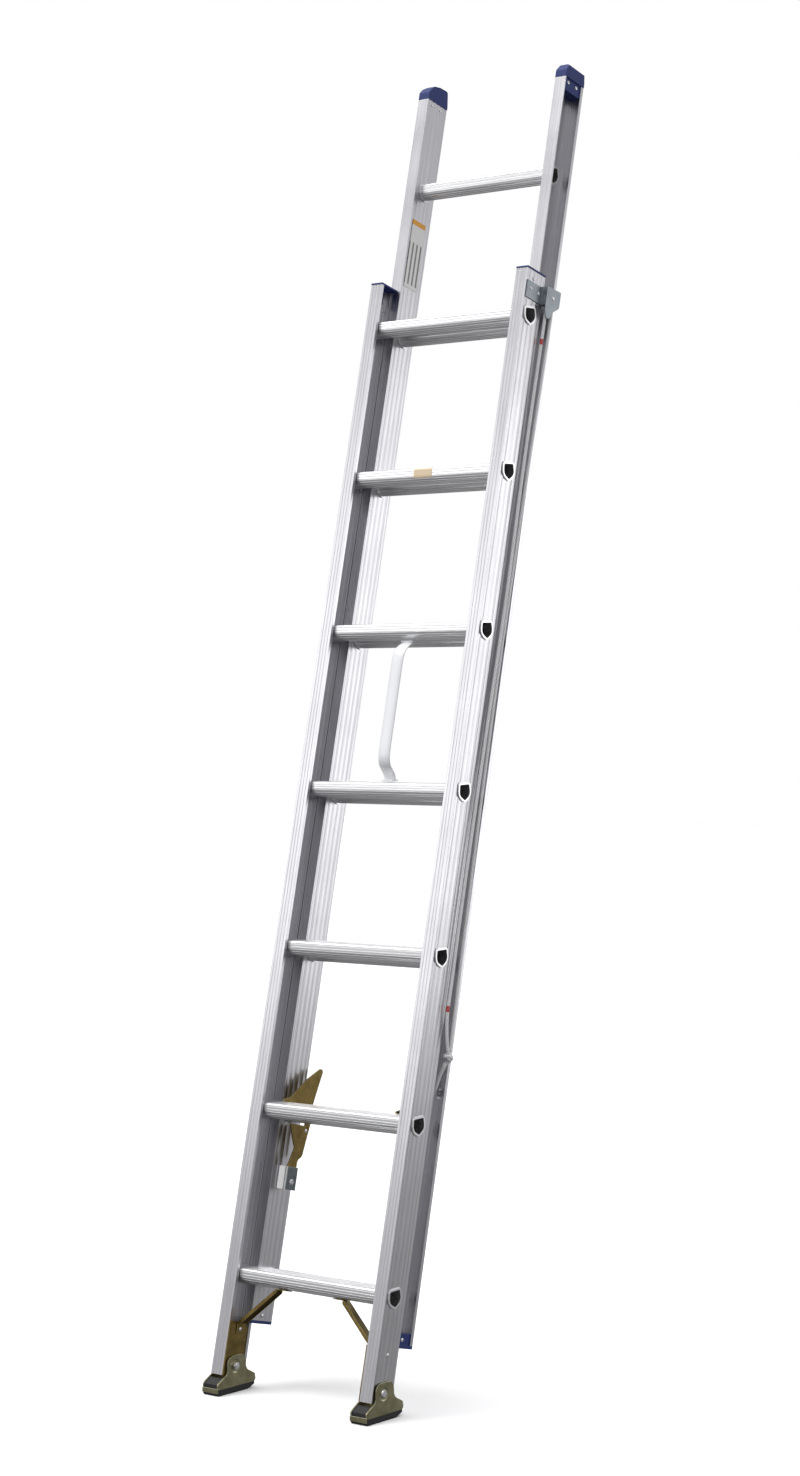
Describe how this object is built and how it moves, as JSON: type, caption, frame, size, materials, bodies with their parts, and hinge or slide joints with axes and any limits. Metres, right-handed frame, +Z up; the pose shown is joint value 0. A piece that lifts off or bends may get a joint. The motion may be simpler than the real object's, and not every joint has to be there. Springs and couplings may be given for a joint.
{
  "type": "extension ladder",
  "caption": "Two-section aluminium extension ladder with D-shaped rungs, spring lock hooks, a rope and pulley, and swivelling rubber-soled shoes, leaning in use.",
  "frame": {"origin": "centre of the floor rectangle that the ladder covers, on the floor", "axes": "+Z up, +X across the ladder to the climber's right, +Y away from the climber, towards the wall it leans on; the rails lean 12.5 degrees from +Z towards +Y"},
  "size_m": [0.4364, 0.7282, 2.7058],
  "materials": {
    "aluminium_rail": "extruded mill finish, satin, with fine draw lines",
    "aluminium_rung": "extruded mill finish, brighter than the rails",
    "blue_plastic": "moulded royal blue, low sheen",
    "black_rubber": "matte moulded rubber",
    "yellow_passivated_steel": "zinc plate with olive-yellow passivation, faint iridescence",
    "galvanised_steel": "dull zinc plate",
    "black_plastic": "moulded nylon",
    "white_plastic": "moulded, glossy, ribbed",
    "white_rope": "braided polyester with red tracer marks",
    "label_film": "printed film, blank panels",
    "spring_steel": "bright wire",
    "zinc_fastener": "zinc-plated, domed heads"
  },
  "bodies": {
    "base": {"base_cap_left": "blue_plastic", "base_cap_right": "blue_plastic", "base_rail_left": "aluminium_rail", "base_rail_right": "aluminium_rail", "base_rivets": "zinc_fastener", "base_rung_1": "aluminium_rung", "base_rung_2": "aluminium_rung", "base_rung_3": "aluminium_rung", "base_rung_4": "aluminium_rung", "base_rung_5": "aluminium_rung", "base_rung_6": "aluminium_rung", "base_rung_7": "aluminium_rung", "brace_left": "yellow_passivated_steel", "brace_right": "yellow_passivated_steel", "bracket_pin_left": "zinc_fastener", "bracket_pin_right": "zinc_fastener", "carry_grip": "white_plastic", "foot_bolt_left": "zinc_fastener", "foot_bolt_right": "zinc_fastener", "foot_plate_left": "yellow_passivated_steel", "foot_plate_right": "yellow_passivated_steel", "foot_rivet_left": "zinc_fastener", "foot_rivet_right": "zinc_fastener", "guide_bracket_left": "galvanised_steel", "guide_bracket_right": "galvanised_steel", "rope": "white_rope", "rung_label": "label_film"},
    "fly": {"fly_bottom_cap_left": "blue_plastic", "fly_bottom_cap_right": "blue_plastic", "fly_label": "label_film", "fly_rail_left": "aluminium_rail", "fly_rail_right": "aluminium_rail", "fly_rivets": "zinc_fastener", "fly_rung_1": "aluminium_rung", "fly_rung_2": "aluminium_rung", "fly_rung_3": "aluminium_rung", "fly_rung_4": "aluminium_rung", "fly_rung_5": "aluminium_rung", "fly_rung_6": "aluminium_rung", "fly_rung_7": "aluminium_rung", "fly_rung_8": "aluminium_rung", "fly_top_cap_left": "blue_plastic", "fly_top_cap_right": "blue_plastic", "hook_pin_left": "zinc_fastener", "hook_pin_right": "zinc_fastener", "latch_bracket_left": "galvanised_steel", "latch_bracket_right": "galvanised_steel", "rope_knot": "white_rope"},
    "hook_left": {"hook_rivet_left": "zinc_fastener", "hook_spring_left": "spring_steel", "lock_hook_left": "yellow_passivated_steel"},
    "hook_right": {"hook_rivet_right": "zinc_fastener", "hook_spring_right": "spring_steel", "lock_hook_right": "yellow_passivated_steel"},
    "pulley": {"pulley_wheel": "black_plastic"},
    "shoe_left": {"shoe_left": "yellow_passivated_steel", "shoe_pad_left": "black_rubber"},
    "shoe_right": {"shoe_right": "yellow_passivated_steel", "shoe_pad_right": "black_rubber"}
  },
  "joints": [
    {"name": "fly_slide", "type": "slide", "parent": "base", "child": "fly", "axis": [0, 0.2164, 0.9763], "range_m": [0, 1.32], "deforming": ["rope"]},
    {"name": "pulley_spin", "type": "hinge", "parent": "base", "child": "pulley", "pos_m": [0.20945, 0.2179, 2.20076], "axis": [1, 0, 0], "continuous": true},
    {"name": "hook_left_swing", "type": "hinge", "parent": "fly", "child": "hook_left", "pos_m": [-0.1412, -0.17547, 0.40329], "axis": [-1, 0, 0], "range_deg": [0, 25], "stiffness_Nm_per_rad": 0.35, "springref_deg": -57.3},
    {"name": "shoe_left_swivel", "type": "hinge", "parent": "base", "child": "shoe_left", "pos_m": [-0.2022, -0.30957, 0.0525], "axis": [1, 0, 0], "range_deg": [-30, 25]},
    {"name": "hook_right_swing", "type": "hinge", "parent": "fly", "child": "hook_right", "pos_m": [0.1412, -0.17547, 0.40329], "axis": [-1, 0, 0], "range_deg": [0, 25], "stiffness_Nm_per_rad": 0.35, "springref_deg": -57.3},
    {"name": "shoe_right_swivel", "type": "hinge", "parent": "base", "child": "shoe_right", "pos_m": [0.2022, -0.30957, 0.0525], "axis": [1, 0, 0], "range_deg": [-30, 25]}
  ]
}
